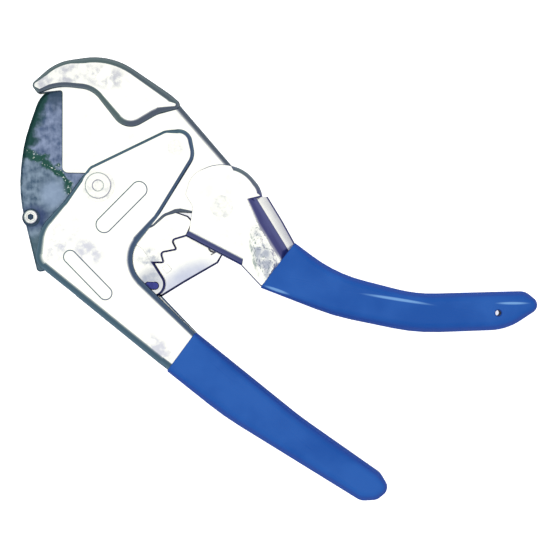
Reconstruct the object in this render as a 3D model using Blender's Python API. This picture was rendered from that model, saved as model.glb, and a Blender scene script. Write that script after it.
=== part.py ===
"""Ratchet hook-jaw cutter: two pressed hook shells, a swinging blade with a toothed
tail, a fixed lower handle and a pivoting upper handle that carries the pawl.

The tool lies flat: the plane of its plates is XY and every pivot runs along Z. The
blade pivot is at X = Y = 0. All named sizes are in millimetres.
"""

import math

import bmesh
import bpy
from mathutils import Matrix, Vector

MM = 0.001
GAP = 0.3  # clearance between neighbouring pieces
ARC_STEP = math.radians(12)  # turn between the points of a rounded corner
MOST_OF_EDGE = 0.49  # share of an edge that one rounded corner may take
CIRCLE_STEPS = 28
WIDE_CIRCLE_STEPS = 64
CAP_STEPS = 12
SMOOTH_ANGLE = math.radians(35)
BEVEL_ANGLE = math.radians(60)
THROUGH = (-20.0, 20.0)  # heights of a tool that goes through everything

# Stack of layers, measured from the middle plane of the tool
BLADE_T = 1.5
HOOK_T = 1.5
HANDLE_T = 1.5
WASHER_T = 0.6
HEAD_T = 1.45
CROWN_LIFT = 1.6  # height of the pressed crown above the flat of the hook shell

# Pivots: X, Y
BLADE_PIVOT = (0.0, 0.0)
HANDLE_PIVOT = (50.4, -8.6)
FRAME_RIVET = (31.6, 15.6)
BLADE_SCREW = (-27.8, -12.7)
PAWL_PIVOT = (47.0, -25.0)

# Round sizes, all radii
BLADE_PIN_R = 3.2
BLADE_BUSH_WALL = 1.3
BLADE_HEAD_R = 5.4
BLADE_WASHER_R = 6.6
PIN_DRILL_R = 2.2
HANDLE_PIN_R = 2.8
HANDLE_HEAD_R = 4.8
HANDLE_WASHER_R = 6.2
HANDLE_BUSH_WALL = 1.2
FRAME_RIVET_R = 1.8
FRAME_HEAD_R = 3.4
SPACER_R = 3.4
SCREW_R = 1.6
SCREW_HEAD_R = 2.9
SCREW_HEAD_T = 1.5
SCREW_SOCKET_R = 1.35
PAWL_PIN_R = 1.6
PAWL_HEAD_R = 2.6

# Ratchet teeth on the tail of the blade carrier
TIP_R = 41.6
NOTCH_R = 37.6
FIRST_NOTCH = math.radians(-36.4)
TOOTH_PITCH = math.radians(10.5)
TOOTH_FACE = math.radians(2.7)
NOTCHES = 3
SECTOR = (math.radians(-18.5), math.radians(-66.0))  # directions of the tail's two sides
TAIL_R = 13.0  # where the tail meets the arm
TAIL_SHOULDER_R = 38.5
FIRST_TIP = (math.radians(-20.6), math.radians(-29.6))
LOBE = (21.7, -40.2)
LOBE_ROOT = (14.6, -29.0)
LOBE_R = 5.5
LOBE_SLOT = (6.2, 3.4)
PAWL_CLEAR = 0.8  # between the pawl's nose and the tips of the teeth

# Grips
UPPER_GRIP_L = 113.0
LOWER_GRIP_L = 100.0
GRIP_SIDE = 1.3  # vinyl over the edges of the channel
GRIP_ROUND = 3.0
HANG_HOLE_R = 1.2
TANG_SHORT = 9.0  # the channel ends this far inside the grip's tip

# Springs
PAWL_WIRE_R = 0.28
PAWL_TURNS = 1
HANDLE_WIRE_R = 0.55
HANDLE_TURNS = 2
COIL_AIR = 0.1
COIL_STEP = math.radians(30)
LEG_SHARE = 1.2  # length of a spring's leg in coil radii
PAWL_LEGS = (-60, 60)  # degrees
HANDLE_LEGS = (100, 160)

# Small details
CROWN_ROUND = 0.8
CROWN_EDGE = 0.4  # ledge between the hook's outer edge and its raised crown
RIM_EDGE = 0.1  # the turned-in rim stands this far inside the outer edge
HEAD_ROUND = 0.4
LEAST_ROUND = 0.1
DRILL_DEPTH = 1.0
LOW_HEAD_T = 0.9
PAWL_HEAD_T = 0.8
SCREW_ROUND = 0.3
SCREW_SOCKET_DEPTH = 1.0
RIM_R = 46.8  # the hook's turned-in rim keeps this far from the blade pivot
TAIL_ROOM = ((0.0, -40.0), (90.0, -40.0), (90.0, 9.0), (0.0, 9.0))
TANG_OVERLAP = 4.0  # the tang starts this far before the mouth of the grip
MOUTH_GAP = 0.6  # between the head of a handle and the mouth of its grip
FAR = 120.0  # reach of the tools that open a channel
LOWER_INWARD = (0.64, 0.77)
UPPER_INWARD = (-0.35, -0.94)
HANG_HOLE = (163.2, -52.0)

HALF_LAP = GAP / 2
BLADE_TOP = HALF_LAP + BLADE_T
HOOK_LOW = BLADE_TOP + GAP
HOOK_TOP = HOOK_LOW + HOOK_T
FLANGE_LOW = HOOK_TOP + GAP
FLANGE_TOP = FLANGE_LOW + HANDLE_T
WASHER_LOW = FLANGE_TOP + GAP
WASHER_TOP = WASHER_LOW + WASHER_T
HEAD_LOW = WASHER_TOP + GAP
HEAD_TOP = HEAD_LOW + HEAD_T
HIGH_HEAD = (HEAD_LOW, HEAD_TOP)  # heights of a pin head over a washer
LOW_HEAD = (FLANGE_TOP + GAP, FLANGE_TOP + GAP + LOW_HEAD_T)  # and of one right on a flange
FLOOR = HEAD_TOP  # the pin heads and the grips are equally thick, so all of them rest on Z = 0
BLADE_BUSH_R = BLADE_PIN_R + GAP + BLADE_BUSH_WALL
HANDLE_BUSH_R = HANDLE_PIN_R + GAP + HANDLE_BUSH_WALL

# Outlines as corners: X, Y and the radius that rounds the corner
HOOK_BACK = (
    (-27.6, 41.4, 1.2),
    (-17.5, 50.6, 20.0),
    (5.0, 54.0, 60.0),
    (29.4, 37.4, 26.0),
)
HOOK_TIP = (-24.8, 37.6, 0.8)
HOOK_OUTLINE = (
    *HOOK_BACK,
    (55.5, 7.0, 8.0),
    (60.0, -17.4, 8.4),
    (43.0, -17.6, 7.0),
    (38.0, -7.2, 3.0),
    (24.0, -12.0, 12.0),
    (10.0, -20.0, 6.0),
    (-12.5, -9.5, 9.0),
    (-7.5, 5.2, 2.0),
    (-15.0, 5.2, 2.5),
    (-15.0, 38.8, 0.6),
    HOOK_TIP,
)
CROWN_OUTLINE = (
    *HOOK_BACK,
    (34.4, 31.6, 1.5),
    (24.0, 28.6, 12.0),
    (11.0, 21.2, 10.0),
    (-2.6, 38.8, 10.0),
    (-15.5, 40.4, 20.0),
    HOOK_TIP,
)
BLADE_OUTLINE = (
    (-24.4, 36.2, 12.0),
    (-11.0, 46.5, 3.0),
    (-4.5, 23.0, 45.0),
    (8.6, 8.6, 7.0),
    (8.6, -9.6, 7.0),
    (-9.0, -9.8, 6.0),
    (-19.8, -22.0, 14.0),
    (-21.8, -34.9, 1.5),
    (-25.2, -35.3, 1.5),
    (-33.0, -3.2, 70.0),
    (-30.8, 18.0, 60.0),
)
ARM_OUTLINE = (
    (-31.4, -10.4, 3.2),
    (-27.5, -8.4, 4.0),
    (-9.6, 8.6, 8.0),
    (9.6, 9.0, 8.0),
    (25.0, -8.0, 6.0),
    (12.0, -24.0, 6.0),
    (-12.0, -13.0, 8.0),
    (-26.0, -17.2, 3.0),
    (-31.0, -16.2, 3.0),
)
LOWER_HEAD_OUTLINE = (  # up to the mouth of the grip, whose two corners close it
    (-26.2, -31.2, 6.5),
    (-23.5, -16.6, 14.0),
    (-14.5, -6.8, 14.0),
    (-3.6, 7.8, 4.0),
    (27.0, 22.6, 5.0),
    (37.4, 23.6, 5.8),
    (39.6, 11.8, 8.0),
    (25.0, -11.8, 30.0),
    (9.8, -31.0, 12.0),
)
LOWER_WEB_START = (-9.4, -44.9)
UPPER_HEAD_R = 17.2
UPPER_HEAD_OUTLINE = (
    (61.9, -34.6, 5.0),
    (35.3, -20.9, 1.0),
    (37.0, -6.0, 2.0),
    (50.0, 2.0, 3.0),
    (62.0, -3.0, 2.0),
    (69.3, -4.6, 0.6),
)
UPPER_WEB_START = (69.3, -4.6)
PAWL_OUTLINE = (
    (46.5, -19.8, 4.0),
    (52.6, -24.4, 3.0),
    (48.6, -31.8, 1.0),
    (35.0, -39.6, 20.0),
    (24.6, -46.0, 1.5),
    (22.6, -42.0, 1.5),
    (25.0, -30.5, 3.0),
    (40.0, -19.0, 5.0),
)
PAWL_NOSE = math.radians(-50.6)  # direction of the nose, seen from the blade pivot
NOSE_SIZE = (3.0, 2.6)  # along and across the radius

# Grip outlines: along the grip as a share of its length, across it, and the radius
UPPER_GRIP_SPAN = ((73.4, -32.25), 0.0)  # middle of the mouth and direction
UPPER_GRIP_OUTLINE = (
    (0.064, 9.3, 0.8),
    (0.21, -3.6, 60.0),
    (0.50, -12.0, 60.0),
    (0.895, -10.8, 5.0),
    (0.957, -16.8, 4.5),
    (0.83, -26.6, 24.0),
    (0.50, -28.0, 80.0),
    (0.20, -21.0, 90.0),
    (-0.064, -9.3, 0.8),
)
LOWER_GRIP_SPAN = ((33.85, -67.8), math.radians(-39.4))
LOWER_GRIP_OUTLINE = (
    (-0.005, 9.7, 0.8),
    (0.55, 10.3, 150.0),
    (0.945, 13.3, 5.0),
    (1.016, 10.8, 3.2),
    (1.004, 4.0, 4.5),
    (0.955, -0.6, 5.0),
    (0.30, -9.5, 120.0),
    (0.005, -9.8, 0.8),
)

PLATED = ("nickel_plated_steel", (0.80, 0.80, 0.76), 1.0, 0.22)
DARK_STEEL = ("blued_blade_steel", (0.16, 0.20, 0.27), 1.0, 0.35)
BRIGHT_STEEL = ("bright_steel", (0.62, 0.62, 0.60), 1.0, 0.28)
SPRING_STEEL = ("spring_steel", (0.30, 0.30, 0.31), 1.0, 0.35)
BRONZE = ("bearing_bronze", (0.55, 0.38, 0.18), 1.0, 0.40)
VINYL = ("blue_vinyl", (0.02, 0.11, 0.50), 0.0, 0.30)


def clear_scene():
    """Empty the file of its starting objects."""
    for thing in list(bpy.data.objects):
        bpy.data.objects.remove(thing, do_unlink=True)


def material(finish):
    """The Principled material of a finish, made once."""
    name, colour, metallic, roughness = finish
    made = bpy.data.materials.get(name) or bpy.data.materials.new(name)
    made.use_nodes = True
    shader = made.node_tree.nodes["Principled BSDF"]
    shader.inputs["Base Color"].default_value = (*colour, 1.0)
    shader.inputs["Metallic"].default_value = metallic
    shader.inputs["Roughness"].default_value = roughness
    made.diffuse_color = (*colour, 1.0)
    return made


def rounded(corners):
    """The points of a closed outline whose corners are rounded by their radii."""
    points = []
    for i, (x, y, radius) in enumerate(corners):
        here = Vector((x, y))
        back = Vector(corners[i - 1][:2]) - here
        ahead = Vector(corners[(i + 1) % len(corners)][:2]) - here
        half = back.angle(ahead) / 2
        reach = min(radius / math.tan(half), MOST_OF_EDGE * min(back.length, ahead.length))
        fit = reach * math.tan(half)
        middle = (back.normalized() + ahead.normalized()).normalized()
        centre = here + middle * (fit / math.sin(half))
        first = here + back.normalized() * reach - centre
        last = here + ahead.normalized() * reach - centre
        turn = math.atan2(first.x * last.y - first.y * last.x, first.dot(last))
        steps = max(1, math.ceil(abs(turn) / ARC_STEP))
        start = math.atan2(first.y, first.x)
        for k in range(steps + 1):
            angle = start + turn * k / steps
            points.append((centre.x + fit * math.cos(angle), centre.y + fit * math.sin(angle)))
    return points


def circle(centre, radius, steps=CIRCLE_STEPS):
    """The points of a round outline."""
    turns = (math.tau * k / steps for k in range(steps))
    return [(centre[0] + radius * math.cos(a), centre[1] + radius * math.sin(a)) for a in turns]


def capsule(start, end, radius):
    """The points of an outline that holds two circles of one radius."""
    along = math.atan2(end[1] - start[1], end[0] - start[0])
    points = []
    for centre, first in ((end, along - math.pi / 2), (start, along + math.pi / 2)):
        for k in range(CAP_STEPS + 1):
            angle = first + math.pi * k / CAP_STEPS
            x = centre[0] + radius * math.cos(angle)
            points.append((x, centre[1] + radius * math.sin(angle)))
    return points


def polar(radius, angle):
    """A point given by its distance and direction from the blade pivot."""
    return radius * math.cos(angle), radius * math.sin(angle)


def inset(corners, distance):
    """The corners of an outline moved in by a distance, with radii that keep its rounding even."""
    ahead = [*corners[1:], corners[0]]
    side = math.copysign(1.0, sum(a[0] * b[1] - b[0] * a[1] for a, b in zip(corners, ahead)))
    moved = []
    for i, (x, y, radius) in enumerate(corners):
        here = Vector((x, y))
        first = (here - Vector(corners[i - 1][:2])).normalized()
        second = (Vector(ahead[i][:2]) - here).normalized()
        normal = Vector((-first.y - second.y, first.x + second.x)).normalized() * side
        lean = normal.dot(Vector((-second.y, second.x))) * side
        place = here + normal * (distance / lean)
        convex = (first.x * second.y - first.y * second.x) * side > 0
        radius += -distance if convex else distance
        moved.append((place.x, place.y, max(radius, LEAST_ROUND)))
    return tuple(moved)


def prism(name, outline, heights, finish=None):
    """A plate of one outline between two heights; without a finish it is a hidden tool."""
    build = bmesh.new()
    low, high = (
        [build.verts.new((x * MM, y * MM, (height + FLOOR) * MM)) for x, y in outline]
        for height in heights
    )
    build.faces.new(low)
    build.faces.new(high)
    for i in range(len(low)):
        build.faces.new((low[i - 1], low[i], high[i], high[i - 1]))
    bmesh.ops.recalc_face_normals(build, faces=build.faces)
    mesh = bpy.data.meshes.new(name)
    build.to_mesh(mesh)
    build.free()
    return placed(name, mesh, finish)


def placed(name, mesh, finish):
    """The object of a mesh, with its material, or hidden when it has no finish."""
    made = bpy.data.objects.new(name, mesh)
    bpy.context.collection.objects.link(made)
    if finish:
        mesh.materials.append(material(finish))
        mesh.shade_smooth()
        mesh.set_sharp_from_angle(angle=SMOOTH_ANGLE)
    else:
        made.hide_render = True
        made.display_type = "WIRE"
    return made


def boolean(target, tool, operation):
    """Cut or join a hidden tool with a piece, as a live modifier."""
    step = target.modifiers.new(f"{operation.lower()} {tool.name}", "BOOLEAN")
    step.operation = operation
    step.object = tool
    step.solver = "EXACT"


def cut(target, *tools):
    """Take each hidden tool away from the piece."""
    for tool in tools:
        boolean(target, tool, "DIFFERENCE")


def join(target, *tools):
    """Add each hidden tool to the piece."""
    for tool in tools:
        boolean(target, tool, "UNION")


def bevel(piece, width, segments):
    """Round the sharp edges of the piece."""
    step = piece.modifiers.new("rounded edges", "BEVEL")
    step.width = width * MM
    step.segments = segments
    step.limit_method = "ANGLE"
    step.angle_limit = BEVEL_ANGLE


def bore(target, centre, radius, heights=THROUGH):
    """Drill a round hole through the piece, or through a height range of it."""
    name = f"{target.name} bore {len(target.modifiers)}"
    cut(target, prism(name, circle(centre, radius), heights))


def ring(name, centre, outer, inner, heights, finish):
    """A washer, bush or spacer."""
    made = prism(name, circle(centre, outer), heights, finish)
    bore(made, centre, inner)
    return made


def on_side(side, low, high):
    """A height range in front of the middle plane, or the same range behind it."""
    return (low, high) if side > 0 else (-high, -low)


def shifted(points, offset):
    """An outline moved sideways."""
    return [(x + offset.x, y + offset.y) for x, y in points]


def pivot_on(centre, *pieces):
    """Put the origin of each piece on its pivot and leave its shape where it is."""
    place = Vector((centre[0] * MM, centre[1] * MM, FLOOR * MM))
    for piece in pieces:
        piece.data.transform(Matrix.Translation(-place))
        piece.location = place


def hook_shell(side, end):
    """One pressed hook shell: a flat frame, a raised crown and a turned-in rim."""
    name = f"hook_shell_{end}"
    outline = rounded(HOOK_OUTLINE)
    crown_top = HOOK_TOP + CROWN_LIFT
    shell = prism(name, outline, on_side(side, HOOK_LOW, HOOK_TOP), PLATED)
    crown = inset(CROWN_OUTLINE, CROWN_EDGE)
    crown_heights = on_side(side, HOOK_LOW + HOOK_T / 2, crown_top)
    raised = prism(f"{name} crown", rounded(crown), crown_heights)
    bevel(raised, CROWN_ROUND, 2)
    room = on_side(side, 0, HOOK_TOP)
    rim_heights = on_side(side, HALF_LAP, HOOK_LOW + HALF_LAP)
    rim = prism(f"{name} rim", rounded(inset(HOOK_OUTLINE, RIM_EDGE)), rim_heights)
    cut(
        rim,
        prism(f"{name} rim inside", rounded(inset(HOOK_OUTLINE, HOOK_T)), room),
        prism(f"{name} blade room", circle(BLADE_PIVOT, RIM_R, WIDE_CIRCLE_STEPS), room),
        prism(f"{name} tail room", TAIL_ROOM, room),
    )
    join(shell, raised, rim)
    hollow = on_side(side, HOOK_LOW - GAP, crown_top - HOOK_T)
    cut(shell, prism(f"{name} hollow", rounded(inset(crown, HOOK_T)), hollow))
    bore(shell, BLADE_PIVOT, BLADE_PIN_R + GAP)
    bore(shell, HANDLE_PIVOT, HANDLE_PIN_R + GAP)
    bore(shell, FRAME_RIVET, FRAME_RIVET_R + GAP)


def grip_corners(span, outline, length):
    """The corners of a grip in the plane, from the upper corner of its mouth to the lower."""
    middle, direction = span
    corners = []
    for share, across, radius in outline:
        along = share * length
        x = middle[0] + along * math.cos(direction) - across * math.sin(direction)
        y = middle[1] + along * math.sin(direction) + across * math.cos(direction)
        corners.append((x, y, radius))
    return corners


def reaching_back(corners):
    """The corners of a grip with its two edges carried back past its mouth."""
    moved = []
    for corner, beside in ((corners[0], corners[1]), (corners[-1], corners[-2])):
        edge = Vector(corner[:2]) - Vector(beside[:2])
        moved.append((*(Vector(corner[:2]) + edge.normalized() * TANG_OVERLAP), GRIP_ROUND + GAP))
    return [moved[0], *corners[1:-1], moved[1]]


def mouth(corners, gap=MOUTH_GAP):
    """The upper and lower corner of a grip's mouth, moved back from it by a gap."""
    upper = Vector(corners[0][:2])
    lower = Vector(corners[-1][:2])
    back = Vector((lower.y - upper.y, upper.x - lower.x)).normalized() * gap
    return [(*(corner + back), LEAST_ROUND) for corner in (upper, lower)]


def channel(name, head, grip, length, web_start, inward):
    """A handle bent from one sheet: two flanges, and a web along one edge of them."""
    span, outline = grip
    ends = mouth(grip_corners(span, outline, length))
    sheet = prism(name, rounded([*head, *ends]), (-FLANGE_TOP, FLANGE_TOP), PLATED)
    corners = reaching_back(grip_corners(span, outline, length))
    tang = rounded(inset(corners, GRIP_SIDE + GAP))
    join(sheet, prism(f"{name} tang", tang, (-FLANGE_TOP, FLANGE_TOP)))
    room = (-FLANGE_LOW, FLANGE_LOW)
    cut(sheet, prism(f"{name} tang room", shifted(tang, inward * HANDLE_T), room))
    start = Vector(web_start)
    web_end = min((Vector(corner[:2]) for corner in ends), key=inward.dot)
    along = (web_end - start).normalized()
    across = Vector((-along.y, along.x))
    across *= math.copysign(1.0, across.dot(inward))
    corner = start + across * HANDLE_T
    reach = along * FAR
    depth = across * FAR
    open_side = (
        corner,
        web_end + across * HANDLE_T + along * TANG_OVERLAP,
        web_end + along * TANG_OVERLAP + depth,
        start - reach + depth,
        start - reach - depth,
        start - depth,
    )
    cut(sheet, prism(f"{name} room", [tuple(point) for point in open_side], room))
    (x, y), direction = span
    tip = Vector((math.cos(direction), math.sin(direction))) * (length - TANG_SHORT)
    side = Vector((-tip.y, tip.x)).normalized() * FAR
    start = Vector((x, y)) + tip
    beyond = (start - side, start + tip * 2 - side, start + tip * 2 + side, start + side)
    cut(sheet, prism(f"{name} end", [tuple(point) for point in beyond], THROUGH))
    return sheet


def vinyl_grip(name, grip, length):
    """A dipped grip: a rounded body, open at the mouth, that the channel fills."""
    span, outline = grip
    corners = grip_corners(span, outline, length)
    whole = reaching_back(corners)
    body = prism(name, rounded(whole), (-HEAD_TOP, HEAD_TOP), VINYL)
    bevel(body, GRIP_ROUND, 2)
    upper, lower = mouth(corners, 0.0)
    back = Vector((lower[1] - upper[1], upper[0] - lower[0]))
    line = Vector((upper[0] - lower[0], upper[1] - lower[1]))
    high = Vector(upper[:2]) + line
    low = Vector(lower[:2]) - line
    before = (low, high, high + back, low + back)
    cut(body, prism(f"{name} mouth", [tuple(point) for point in before], THROUGH))
    inside = rounded(inset(whole, GRIP_SIDE))
    half = FLANGE_TOP + GAP
    cut(body, prism(f"{name} hollow", inside, (-half, half)))
    return body


def lower_handle():
    """The fixed handle: its channel, its grip and the rivet that holds the hook."""
    lower = (LOWER_GRIP_SPAN, LOWER_GRIP_OUTLINE)
    inward = Vector(LOWER_INWARD).normalized()
    head = LOWER_HEAD_OUTLINE
    sheet = channel("lower_handle_channel", head, lower, LOWER_GRIP_L, LOWER_WEB_START, inward)
    bore(sheet, BLADE_PIVOT, BLADE_PIN_R + GAP)
    bore(sheet, FRAME_RIVET, FRAME_RIVET_R + GAP)
    vinyl_grip("lower_grip", lower, LOWER_GRIP_L)
    rivet("frame_rivet", FRAME_RIVET, FRAME_RIVET_R, FRAME_HEAD_R, (LOW_HEAD, LOW_HEAD))
    spacer = (-BLADE_TOP, BLADE_TOP)
    ring("frame_spacer", FRAME_RIVET, SPACER_R, FRAME_RIVET_R + GAP, spacer, BRIGHT_STEEL)


def rivet(name, centre, radius, head_radius, heads):
    """A straight pin with a head at each end, given as front and rear height ranges."""
    front, rear = heads
    shaft = (-rear[0] - HALF_LAP, front[0] + HALF_LAP)
    pin = prism(name, circle(centre, radius), shaft, BRIGHT_STEEL)
    for side, end, head in ((1, "front", front), (-1, "rear", rear)):
        cap = prism(f"{name} {end} head", circle(centre, head_radius), on_side(side, *head))
        bevel(cap, HEAD_ROUND, 2)
        join(pin, cap)
    return pin


def pivots():
    """The blade's pivot and the upper handle's pivot, with their washers."""
    heads = (HIGH_HEAD, HIGH_HEAD)
    pin = rivet("main_pivot_pin", BLADE_PIVOT, BLADE_PIN_R, BLADE_HEAD_R, heads)
    bore(pin, BLADE_PIVOT, PIN_DRILL_R, (HEAD_TOP - DRILL_DEPTH, HEAD_TOP + GAP))
    heads = (LOW_HEAD, HIGH_HEAD)
    rivet("handle_pivot_pin", HANDLE_PIVOT, HANDLE_PIN_R, HANDLE_HEAD_R, heads)
    for side, end in ((1, "front"), (-1, "rear")):
        heights = on_side(side, WASHER_LOW, WASHER_TOP)
        hole = BLADE_PIN_R + GAP
        ring(f"main_washer_{end}", BLADE_PIVOT, BLADE_WASHER_R, hole, heights, BRIGHT_STEEL)
    hole = HANDLE_PIN_R + GAP
    ring("handle_washer", HANDLE_PIVOT, HANDLE_WASHER_R, hole, heights, BRIGHT_STEEL)


def toothed_tail():
    """The outline of the carrier's tail: a sector with ratchet teeth on its outer arc."""
    points = [polar(TAIL_R, SECTOR[1]), polar(TAIL_R, SECTOR[0]), polar(TAIL_SHOULDER_R, SECTOR[0])]
    points += [polar(TIP_R, FIRST_TIP[0]), polar(TIP_R, FIRST_TIP[1])]
    for k in range(NOTCHES):
        notch = FIRST_NOTCH - k * TOOTH_PITCH
        points.append(polar(NOTCH_R, notch))
        if k < NOTCHES - 1:
            points.append(polar(TIP_R, notch - TOOTH_FACE))
    points.append(polar(NOTCH_R - LOBE_R, SECTOR[1]))
    return points


def blade_set():
    """The blade, its toothed carrier, and what holds them together; all turn as one."""
    blade = prism("cutting_blade", rounded(BLADE_OUTLINE), (HALF_LAP, BLADE_TOP), DARK_STEEL)
    bore(blade, BLADE_PIVOT, BLADE_BUSH_R + GAP)
    bore(blade, BLADE_SCREW, SCREW_R + GAP)
    carrier = prism("blade_carrier", rounded(ARM_OUTLINE), (-BLADE_TOP, -HALF_LAP), PLATED)
    tail = prism("blade_carrier tail", toothed_tail(), (-BLADE_TOP, BLADE_TOP))
    lobe = prism("blade_carrier lobe", capsule(LOBE_ROOT, LOBE, LOBE_R), (HALF_LAP, BLADE_TOP))
    join(carrier, tail, lobe)
    half = (LOBE_SLOT[0] - LOBE_SLOT[1]) / 2
    slot = capsule((LOBE[0] - half, LOBE[1]), (LOBE[0] + half, LOBE[1]), LOBE_SLOT[1] / 2)
    cut(carrier, prism("blade_carrier slot", slot, THROUGH))
    bore(carrier, BLADE_PIVOT, BLADE_BUSH_R + GAP)
    bore(carrier, BLADE_SCREW, SCREW_R + GAP)
    height = (-BLADE_TOP, BLADE_TOP)
    bush = ring("blade_bush", BLADE_PIVOT, BLADE_BUSH_R, BLADE_PIN_R + GAP, height, BRONZE)
    screw = blade_screw()
    pivot_on(BLADE_PIVOT, blade, carrier, bush, screw)


def blade_screw():
    """The low socket-head screw that clamps the blade to its carrier."""
    under = BLADE_TOP + GAP
    screw = prism("blade_screw", circle(BLADE_SCREW, SCREW_R), (-BLADE_TOP, under), BRIGHT_STEEL)
    head = prism("blade_screw head", circle(BLADE_SCREW, SCREW_HEAD_R), (under, under + SCREW_HEAD_T))
    bevel(head, SCREW_ROUND, 1)
    join(screw, head)
    socket = circle(BLADE_SCREW, SCREW_SOCKET_R, 6)
    depth = (under + SCREW_HEAD_T - SCREW_SOCKET_DEPTH, under + SCREW_HEAD_T + GAP)
    cut(screw, prism("blade_screw socket", socket, depth))
    return screw


def coil(name, centre, radius, wire, turns, middle, legs):
    """A torsion spring round a pivot, with a straight leg in each given direction."""
    pitch = 2 * wire + COIL_AIR
    first, second = (math.radians(angle) for angle in legs)
    total = math.tau * turns + second - first
    steps = round(total / COIL_STEP)
    low = middle - pitch * total / math.tau / 2
    points = []
    for k in range(steps + 1):
        angle = first + total * k / steps
        height = low + pitch * total / math.tau * k / steps
        points.append(Vector((radius * math.cos(angle), radius * math.sin(angle), height)))
    leg = Vector((math.sin(first), -math.cos(first), 0)) * LEG_SHARE * radius
    points.insert(0, points[0] + leg)
    leg = Vector((-math.sin(second), math.cos(second), 0)) * LEG_SHARE * radius
    points.append(points[-1] + leg)
    curve = bpy.data.curves.new(name, "CURVE")
    curve.dimensions = "3D"
    curve.bevel_depth = wire * MM
    curve.bevel_resolution = 1
    curve.use_fill_caps = True
    curve.materials.append(material(SPRING_STEEL))
    line = curve.splines.new("POLY")
    line.points.add(len(points) - 1)
    for knot, point in zip(line.points, points):
        knot.co = (*(point * MM), 1.0)
    made = bpy.data.objects.new(name, curve)
    bpy.context.collection.objects.link(made)
    made.location = (centre[0] * MM, centre[1] * MM, FLOOR * MM)


def upper_handle():
    """The moving handle: its channel, bushes and grip, and the pawl's pin and spring."""
    upper = (UPPER_GRIP_SPAN, UPPER_GRIP_OUTLINE)
    inward = Vector(UPPER_INWARD).normalized()
    head = UPPER_HEAD_OUTLINE
    sheet = channel("upper_handle_channel", head, upper, UPPER_GRIP_L, UPPER_WEB_START, inward)
    disc = circle(HANDLE_PIVOT, UPPER_HEAD_R, WIDE_CIRCLE_STEPS)
    for side in (1, -1):
        heights = on_side(side, FLANGE_LOW, FLANGE_TOP)
        join(sheet, prism(f"upper_handle_channel disc {side}", disc, heights))
    bore(sheet, HANDLE_PIVOT, HANDLE_BUSH_R + GAP)
    bore(sheet, PAWL_PIVOT, PAWL_PIN_R + GAP, (-20.0, 0.0))
    bore(sheet, HANG_HOLE, HANG_HOLE_R + GAP)
    grip = vinyl_grip("upper_grip", upper, UPPER_GRIP_L)
    bore(grip, HANG_HOLE, HANG_HOLE_R)
    pieces = [sheet, grip, pawl_pin()]
    for side, end in ((1, "front"), (-1, "rear")):
        heights = on_side(side, FLANGE_LOW, FLANGE_TOP)
        hole = HANDLE_PIN_R + GAP
        pieces.append(ring(f"handle_bush_{end}", HANDLE_PIVOT, HANDLE_BUSH_R, hole, heights, BRONZE))
    pivot_on(HANDLE_PIVOT, *pieces)
    around = PAWL_PIN_R + GAP + PAWL_WIRE_R
    middle = -BLADE_TOP / 2 - HALF_LAP
    coil("pawl_spring", PAWL_PIVOT, around, PAWL_WIRE_R, PAWL_TURNS, middle, PAWL_LEGS)


def pawl_pin():
    """The stub pin in the rear flange that the pawl swings on."""
    outside = -FLANGE_TOP - GAP
    pin = prism("pawl_pin", circle(PAWL_PIVOT, PAWL_PIN_R), (outside, -HALF_LAP), BRIGHT_STEEL)
    head = circle(PAWL_PIVOT, PAWL_HEAD_R)
    join(pin, prism("pawl_pin head", head, (outside - PAWL_HEAD_T, outside)))
    return pin


def pawl():
    """The pawl plate behind the tail, with a nose that stands in the plane of the teeth."""
    plate = prism("pawl", rounded(PAWL_OUTLINE), (-HOOK_TOP, -HOOK_LOW), PLATED)
    out = Vector(polar(1.0, PAWL_NOSE))
    across = Vector((-out.y, out.x)) * NOSE_SIZE[1] / 2
    near = out * (TIP_R + PAWL_CLEAR)
    far = near + out * NOSE_SIZE[0]
    nose = [tuple(point) for point in (near - across, far - across, far + across, near + across)]
    join(plate, prism("pawl nose", nose, (-HOOK_LOW - HALF_LAP, -HALF_LAP)))
    bore(plate, PAWL_PIVOT, PAWL_PIN_R + GAP)
    pivot_on(PAWL_PIVOT, plate)


def main():
    """Build the whole tool."""
    clear_scene()
    hook_shell(1, "front")
    hook_shell(-1, "rear")
    lower_handle()
    pivots()
    around = HANDLE_PIN_R + GAP + HANDLE_WIRE_R
    coil("handle_spring", HANDLE_PIVOT, around, HANDLE_WIRE_R, HANDLE_TURNS, 0.0, HANDLE_LEGS)
    blade_set()
    upper_handle()
    pawl()


main()
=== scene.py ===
"""Looks of the ratchet hook-jaw cutter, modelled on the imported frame.

The tool lies flat in XY and every pivot runs along Z. Sizes in the classes are in
millimetres, and heights are measured from the middle plane of the tool.
"""

import logging
import math
from contextlib import contextmanager
from dataclasses import dataclass
from enum import Enum
from typing import Callable, Iterable, Iterator, Sequence

import bpy
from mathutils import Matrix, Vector


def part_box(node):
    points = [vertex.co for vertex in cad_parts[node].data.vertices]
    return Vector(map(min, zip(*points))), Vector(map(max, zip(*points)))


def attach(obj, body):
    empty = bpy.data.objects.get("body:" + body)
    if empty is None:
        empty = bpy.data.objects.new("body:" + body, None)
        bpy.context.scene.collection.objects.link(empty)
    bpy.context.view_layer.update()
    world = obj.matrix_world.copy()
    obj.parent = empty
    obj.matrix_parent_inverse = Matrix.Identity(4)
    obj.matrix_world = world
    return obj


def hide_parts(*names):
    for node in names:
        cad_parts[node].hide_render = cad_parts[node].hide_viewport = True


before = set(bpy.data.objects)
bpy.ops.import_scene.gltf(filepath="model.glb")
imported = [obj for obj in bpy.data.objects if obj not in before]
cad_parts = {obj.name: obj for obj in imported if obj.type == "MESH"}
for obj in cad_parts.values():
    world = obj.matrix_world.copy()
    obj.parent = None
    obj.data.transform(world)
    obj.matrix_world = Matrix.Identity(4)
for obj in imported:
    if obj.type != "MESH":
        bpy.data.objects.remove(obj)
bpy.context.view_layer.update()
MM = 0.001
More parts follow.
